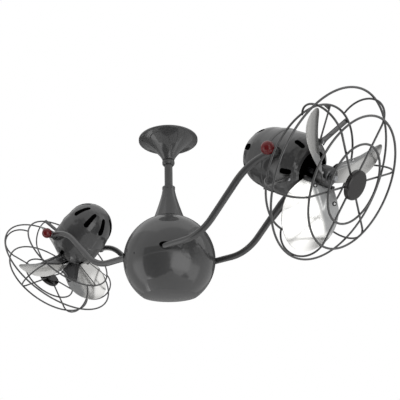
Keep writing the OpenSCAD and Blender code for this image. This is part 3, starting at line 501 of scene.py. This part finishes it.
# extra width at the lug, and the share of the length over which it is lost
STRAP_FLARE, STRAP_FLARE_END = 8.0, 0.22
STRAP_CROWN = 0.35
STRAP_MESH = 16, 6
# how far a strap's end runs on round the ring, how deep its web is, and the web's blunt point
FOOT_TURN, FOOT_DEEP, FOOT_POINT = 11.0, 12.0, 0.97


def round_at(x, r, turn):
    return Vector((x, r * math.cos(math.radians(turn)), r * math.sin(math.radians(turn))))


def strap_ends(start, end):
    """Both ends of a strap and its direction."""
    p, q = round_at(LUG_X, LUG_R, start), round_at(REAR_RING_X, REAR_RING_R, end)
    return p, q, (q - p).normalized()


def strap(start, end, sense):
    """Flat strap from a lug to the rear ring, wider where it leaves the lug."""
    p, q, d = strap_ends(start, end)
    a = d.cross(Vector((1, 0, 0))).normalized()
    twist = math.radians(STRAP_TWIST)
    wide = a * math.cos(twist) + d.cross(a) * math.sin(twist) * sense
    thick = d.cross(wide).normalized()

    def point(s, t, layer):
        u = 2 * t - 1
        half = STRAP_W / 2 + STRAP_FLARE / 2 * max(0.0, 1 - s / STRAP_FLARE_END) ** 2
        depth = STRAP_T / 2 * (1 - STRAP_CROWN * u ** 4)
        return p.lerp(q, s) + wide * (half * u) + thick * (-depth if layer else depth)
    return patch(point, *STRAP_MESH)


def strap_foot(start, end, sense):
    """Web between the strap's end and the ring."""
    q, d = strap_ends(start, end)[1:]
    far = round_at(REAR_RING_X, REAR_RING_R, end + sense * FOOT_TURN)
    n = d.cross(far - q).normalized()

    def point(s, t, layer):
        on_ring = round_at(REAR_RING_X, REAR_RING_R, end + sense * FOOT_TURN * s)
        inner = (q - d * FOOT_DEEP).lerp(far, min(FOOT_POINT, s))
        return inner.lerp(on_ring, t) + n * (-STRAP_T / 2 if layer else STRAP_T / 2)
    return patch(point, *STRAP_MESH)


def build_straps(side):
    shapes = [strap(*row[:3]) for row in STRAPS]
    shapes += [strap_foot(*row[:3]) for row in STRAPS if row[3]]
    obj = add_piece(f"cage_straps_{side}", joined(shapes), MATS["dark_paint"], f"head_{side}",
                    head_matrix(side))
    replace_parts(obj, f"cage_struts_{side}")


# ------------------------------------------------------------------ clamp knobs
KNOB_R, KNOB_Y = 15.8, 107.7
KNOB_MID, KNOB_RISE = KNOB_R * 0.62 + 2.5, KNOB_R * 0.97
KNOB_FROM, KNOB_TO, KNOB_POINTS = -58, 90, 48
KNOB_FOOT = ((AXIS_R, 3.2), (5.5, 3.2), (7.0, 2.6))


def build_knob(side):
    """Flattened ball with a small flat collar side, on the stud."""
    profile = []
    for k in range(KNOB_POINTS + 1):
        t = math.radians(KNOB_FROM + (KNOB_TO - KNOB_FROM) * k / KNOB_POINTS)
        profile.append((KNOB_R * math.cos(t), KNOB_MID + KNOB_RISE * math.sin(t)))
    profile[-1] = (AXIS_R, profile[-1][1])
    profile += KNOB_FOOT
    out = -SIDES[side] * KNOB_Y
    turn = Matrix.Rotation(math.radians(90 if out < 0 else -90), 4, "X")
    place = head_matrix(side) @ Matrix.Translation((0, out, 0)) @ turn
    obj = lathe(f"knob_ball_{side}", profile, MATS["red_gloss"], f"knob_body_{side}",
                KNOB_STEPS, place)
    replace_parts(obj, f"knob_{side}")


# ------------------------------------------------------------------ blades
BLADE_T, BLADE_MID = 1.6, 80.5
ROOT_SLOPE = math.tan(math.radians(43.0))
TIP_SLOPE = math.tan(math.radians(18.0))
BLADE_LEAN = math.tan(math.radians(11.0))
BLADE_BOW = 12.0
# the sheet is flat up to BLADE_FLAT, widest at BLADE_FULL_Y, and BLADE_AXIS is its half length
BLADE_ROOT, BLADE_TIP, BLADE_FLAT = 25.0, 182.0, 63.0
BLADE_FULL_Y, BLADE_AXIS = 89.5, 92.5
BLADE_FRONT_W, BLADE_REAR_W, BLADE_TAPER = 49.5, 55.5, 0.36
BLADE_FROM = math.asin((BLADE_ROOT - BLADE_FULL_Y) / BLADE_AXIS)
BLADE_TO = math.radians(89.0)
BLADE_MESH = 72, 48
FOLD = ((29.0, -7.5), (131.0, 43.0))
FOLD_DROP, FOLD_RUN = 0.02, 20.0
EMBOSS = (((37.0, -2.4), (75.6, 16.0)), ((75.6, 16.0), (35.7, 19.2)))
EMBOSS_H, EMBOSS_W = 0.9, 1.6


def blade_x(y, w):
    """Height of the sheet's middle at y along and w across the blade."""
    past = max(0.0, (y - BLADE_FLAT) / (BLADE_TIP - BLADE_FLAT))
    return (BLADE_MID + y * BLADE_LEAN - BLADE_BOW * past * past
            + w * (ROOT_SLOPE - (ROOT_SLOPE - TIP_SLOPE) * past))


def blade_w(y, u):
    """Place across the blade, u from -1 at the rear edge to 1 at the front edge."""
    k = (y - BLADE_FULL_Y) / BLADE_AXIS
    reach = math.sqrt(max(0.0, 1 - k * k)) * (1 + BLADE_TAPER * k)
    return u * reach * (BLADE_FRONT_W if u > 0 else BLADE_REAR_W)


def near_line(y, w, p, q):
    """Distance of a point of the sheet from the stretch p to q."""
    dy, dw = q[0] - p[0], q[1] - p[1]
    t = max(0.0, min(1.0, ((y - p[0]) * dy + (w - p[1]) * dw) / (dy * dy + dw * dw)))
    return math.hypot(y - p[0] - t * dy, w - p[1] - t * dw)


def pressed(y, w):
    """1 on the pressed V, falling to 0 beside it."""
    return math.exp(-(min(near_line(y, w, *line) for line in EMBOSS) / EMBOSS_W) ** 2)


def relief(y, w):
    """Pressed V, and the fold beyond which the sheet turns back a little."""
    rise = EMBOSS_H * pressed(y, w)
    (y0, w0), (y1, w1) = FOLD
    beyond = w - w0 - (w1 - w0) * (y - y0) / (y1 - y0)
    if y > BLADE_FLAT and beyond > 0:
        rise -= FOLD_DROP * beyond * min(1.0, (y - BLADE_FLAT) / FOLD_RUN)
    return rise


def blade_point(s, t, layer):
    y = BLADE_FULL_Y + BLADE_AXIS * math.sin(BLADE_FROM + (BLADE_TO - BLADE_FROM) * s)
    w = blade_w(y, math.sin(math.pi / 2 * (2 * t - 1)))
    lift = -BLADE_T / 2 if layer else BLADE_T / 2
    return (blade_x(y, w) + lift + relief(y, w), y, w)


def build_blades(side):
    sheet = patch(blade_point, *BLADE_MESH)
    sheets = joined(moved(sheet, spin) for spin in blade_spins(side))
    obj = add_piece(f"blade_sheets_{side}", sheets, MATS["blade_metal"], f"rotor_{side}",
                    head_matrix(side))
    spots = [(y, w) for x, y, w in sheet[0]] * len(BLADE_ANGLES)
    layer = obj.data.uv_layers.new(name="sheet")
    for loop in obj.data.loops:
        y, w = spots[loop.vertex_index]
        layer.data[loop.index].uv = (y / SHEET_SPAN, w / SHEET_SPAN + SHEET_MID)
    # share of the pressed V at each point, which sets its painted highlight
    press_highlight = obj.data.attributes.new("press_highlight", "FLOAT", "POINT")
    for k, (y, w) in enumerate(spots):
        press_highlight.data[k].value = pressed(y, w)
    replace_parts(obj, f"blades_{side}")


# ------------------------------------------------------------------ rivets
RIVETS = ((29.1, -7.5), (52.5, 32.1))
# half the 1 mm over which the sheet's slope at a rivet is taken
HALF = 0.5
RIVET_LINE = ((AXIS_R, -1.2), (3.0, -1.2), (3.0, 1.1), (2.3, 1.9), (1.2, 2.4), (AXIS_R, 2.5))
WASHER_LINE = ((2.8, -1.2), (5.2, -1.2), (5.2, 0.5), (4.6, 0.8), (3.6, 0.8), (2.8, 0.3))


def rivet_rings(name, side, line, mat):
    """The turned line set square on the sheet at each blade's root rivets."""
    rings = []
    for spin in blade_spins(side):
        for y, w in RIVETS:
            dy = blade_x(y + HALF, w) - blade_x(y - HALF, w)
            dw = blade_x(y, w + HALF) - blade_x(y, w - HALF)
            square = Vector((1, -dy, -dw)).to_track_quat("Z", "Y").to_matrix().to_4x4()
            at = Matrix.Translation((blade_x(y, w) + BLADE_T / 2, y, w))
            rings.append(moved(turned(line, SMALL_STEPS), spin @ at @ square))
    return add_piece(f"{name}_{side}", joined(rings), mat, f"rotor_{side}",
                     head_matrix(side))


def build_rivets(side):
    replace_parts(rivet_rings("blade_root_rivets", side, RIVET_LINE, RIVET_STEEL),
                f"blade_rivets_{side}")
    rivet_rings("blade_root_washers", side, WASHER_LINE, MATS["dark_hub"])


# ------------------------------------------------------------------ blade hubs
HUB_LINE = ((6.0, 66.0), (17.5, 66.0), (19.0, 67.0), (21.0, 74.0), (23.0, 82.0), (23.0, 104.0),
            (22.0, 107.0), (18.0, 109.5), (14.0, 110.0), (6.0, 110.0))
ARM_T, ARM_GAP = 4.11, 0.1
ARM_IN, ARM_OUT = 16.0, 61.0
ARM_REAR, ARM_FRONT = -27.5, 40.0
# the arm keeps inside this share of the sheet, no narrower than the sheet is at ARM_NECK
ARM_INSET, ARM_NECK = 0.93, 30.0
# from this share of its length the arm narrows by ARM_NARROW
ARM_FULL, ARM_NARROW = 0.7, 0.25
ARM_MESH = 12, 12


def arm_point(s, t, layer):
    """A hub arm against the rear of a blade's root, inside the sheet's outline."""
    y = ARM_IN + (ARM_OUT - ARM_IN) * s
    end = 1 - ARM_NARROW * max(0.0, (s - ARM_FULL) / (1 - ARM_FULL)) ** 2
    u = 2 * t - 1
    edge = blade_w(max(y, ARM_NECK), math.copysign(1, u)) * ARM_INSET
    w = abs(u) * (min(edge, ARM_FRONT) if u > 0 else max(edge, ARM_REAR)) * end
    lift = BLADE_T / 2 + ARM_GAP + (ARM_T if layer else 0)
    return (blade_x(y, w) - lift, y, w)


def build_hub(side):
    verts, faces = turned(HUB_LINE, SHELL_STEPS)
    hub = [(x, ry, rz) for ry, rz, x in verts], faces
    arms = [moved(patch(arm_point, *ARM_MESH), spin) for spin in blade_spins(side)]
    obj = add_piece(f"hub_spider_{side}", joined([hub] + arms), ARM_METAL, f"rotor_{side}",
                    head_matrix(side))
    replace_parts(obj, f"blade_hub_{side}")


build_canopy()
build_globe_details()
for side in SIDES:
    build_blades(side)
    build_hub(side)
    build_knob(side)
    build_motor_shade_sheets(side)
    build_straps(side)
    build_rivets(side)

# ------------------------------------------------------------------ stage, light, camera
FLOOR_HALF, FLOOR_Z, FLOOR_GREY, FLOOR_ROUGH = 1.2, -1.9, 0.85, 0.8
LAMP_TARGET = (0, 0, -0.35)
KEY_AT, KEY_SIZE, KEY_POWER = (-0.6, 0.4, 2.6), 4.4, 20
FILL_AT, FILL_SIZE, FILL_POWER = (2.4, 1.6, 1.6), 2.0, 6


def build_stage():
    mesh = bpy.data.meshes.new("floor")
    bm = bmesh.new()
    bmesh.ops.create_grid(bm, x_segments=1, y_segments=1, size=FLOOR_HALF)
    bm.to_mesh(mesh)
    bm.free()
    floor = bpy.data.objects.new("floor", mesh)
    floor.location = (0, 0, FLOOR_Z)
    bpy.context.scene.collection.objects.link(floor)
    mat, tree, bsdf = new_material("floor")
    bsdf.inputs["Base Color"].default_value = grey(FLOOR_GREY)
    bsdf.inputs["Roughness"].default_value = FLOOR_ROUGH
    mesh.materials.append(mat)


def area(name, at, size, power):
    data = bpy.data.lights.new(name, "AREA")
    data.shape = "RECTANGLE"
    data.size = data.size_y = size
    data.energy = power
    obj = bpy.data.objects.new(name, data)
    obj.location = at
    toward = Vector(LAMP_TARGET) - Vector(at)
    obj.rotation_euler = toward.to_track_quat("-Z", "Y").to_euler()
    bpy.context.scene.collection.objects.link(obj)


ROOM_DIFFUSE = 0.75
ROOM_BASE = 0.62
ROOM_PATCHES = (
    # az, el, half width, half height, soft edge, brightness
    (-60, -78, 180, 16, 4, 0.4),
    (135, 52, 60, 30, 12, 0.34),
    (132, -11, 30, 39, 2, 0.26),
    (115, 22, 26, 18, 2, 0.05),
    (-172, 5, 20, 45, 8, 0.45),
    (85, -66, 38, 12, 4, 0.45),
    (-130, -30, 22, 27, 9, 1.35),
    (0, -44, 38, 26, 5, 1.35),
    (22, 22, 28, 20, 6, 0.6),
    (-83, -26, 35, 45, 3, 0.12),
    (-66, -80, 46, 11, 3, 0.25),
    (-156, -55, 25, 11, 4, 2.0),
    (-48, 4, 75, 0.7, 0.5, 1.1),
    (-17, -18, 24, 21, 6, 2.0),
    (-28, 12, 16, 3, 1.5, 1.7),
)
# smallest depth a direction is divided by, which keeps a patch out of the room's other half
LEAST_DEPTH = 0.001


def room_patch(tree, vec, before, az, el, half_w, half_h, soft, value):
    """A soft rectangle of the room, in degrees, seen in direction az, el."""
    az, el = math.radians(az), math.radians(el)
    ahead = (math.cos(el) * math.cos(az), math.cos(el) * math.sin(az), math.sin(el))
    side = (-math.sin(az), math.cos(az), 0)
    up = (-math.sin(el) * math.cos(az), -math.sin(el) * math.sin(az), math.cos(el))
    depth = math_node(tree, "MAXIMUM", dot(tree, vec, ahead), LEAST_DEPTH)
    mask = None
    for axis, half in ((side, half_w), (up, half_h)):
        across = math_node(tree, "DIVIDE", dot(tree, vec, axis), depth)
        edge = fade(tree, math_node(tree, "ABSOLUTE", across),
                    math.tan(math.radians(max(0, half - soft))),
                    math.tan(math.radians(half + soft)))
        mask = edge if mask is None else math_node(tree, "MULTIPLY", mask, edge)
    change = math_node(tree, "MULTIPLY", mask, math_node(tree, "SUBTRACT", value, before))
    return math_node(tree, "ADD", before, change)


def background(tree):
    node = tree.nodes.new("ShaderNodeBackground")
    node.inputs["Color"].default_value = (1, 1, 1, 1)
    return node


def build_world():
    world = bpy.data.worlds.new("studio")
    bpy.context.scene.world = world
    world.use_nodes = True
    tree = world.node_tree
    tree.nodes.clear()
    out = tree.nodes.new("ShaderNodeOutputWorld")
    path = tree.nodes.new("ShaderNodeLightPath")
    mix = tree.nodes.new("ShaderNodeMixShader")
    room, white = background(tree), background(tree)
    room.inputs["Strength"].default_value = ROOM_DIFFUSE
    # the white backdrop; polished surfaces see the studio's dark and bright cards before it
    vec = tree.nodes.new("ShaderNodeTexCoord").outputs["Generated"]
    value = ROOM_BASE
    for spec in ROOM_PATCHES:
        value = room_patch(tree, vec, value, *spec)
    cards = math_node(tree, "SUBTRACT", value, 1.0)
    unseen = math_node(tree, "SUBTRACT", 1.0, path.outputs["Is Camera Ray"])
    seen_cards = math_node(tree, "MULTIPLY", cards, unseen)
    tree.links.new(math_node(tree, "ADD", seen_cards, 1.0), white.inputs["Strength"])
    shown = math_node(tree, "MAXIMUM", path.outputs["Is Camera Ray"], path.outputs["Is Glossy Ray"])
    shown = math_node(tree, "MAXIMUM", shown, path.outputs["Is Transmission Ray"])
    tree.links.new(shown, mix.inputs["Fac"])
    tree.links.new(room.outputs[0], mix.inputs[1])
    tree.links.new(white.outputs[0], mix.inputs[2])
    tree.links.new(mix.outputs[0], out.inputs["Surface"])


CAM_AZ, CAM_PITCH, CAM_ROLL = -47.8706, 17.8418, -0.6049
CAM_DIST, CAM_DROP = 1.5397785, 0.473418
FOCAL_PX = 582.7736
CENTRE_PX = (169.3424, 252.2298)
FRAME_PX = 400.0
SENSOR, CLIP_NEAR = 36.0, 0.05


def build_camera():
    az, pitch, roll = math.radians(CAM_AZ), math.radians(CAM_PITCH), math.radians(CAM_ROLL)
    pos = Vector((CAM_DIST * math.cos(az), CAM_DIST * math.sin(az), CENTRE_Z * MM - CAM_DROP))
    level = Vector((-math.cos(az), -math.sin(az), 0))
    beside = Vector((-math.sin(az), math.cos(az), 0))
    upright = Vector((0, 0, 1))
    ahead = level * math.cos(pitch) + upright * math.sin(pitch)
    above = upright * math.cos(pitch) - level * math.sin(pitch)
    right = beside * math.cos(roll) + above * math.sin(roll)
    up = above * math.cos(roll) - beside * math.sin(roll)
    cam = bpy.data.cameras.new("camera")
    cam.sensor_width = SENSOR
    cam.lens = FOCAL_PX / FRAME_PX * SENSOR
    cam.shift_x = (FRAME_PX / 2 - CENTRE_PX[0]) / FRAME_PX
    cam.shift_y = (CENTRE_PX[1] - FRAME_PX / 2) / FRAME_PX
    cam.clip_start = CLIP_NEAR
    obj = bpy.data.objects.new("camera", cam)
    obj.matrix_world = (Matrix.Translation(pos)
                        @ Matrix((right, up, -ahead)).transposed().to_4x4())
    bpy.context.scene.collection.objects.link(obj)
    bpy.context.scene.camera = obj


build_stage()
build_world()
area("key", KEY_AT, KEY_SIZE, KEY_POWER)
area("fill", FILL_AT, FILL_SIZE, FILL_POWER)
build_camera()
bpy.context.scene.view_settings.view_transform = "Standard"
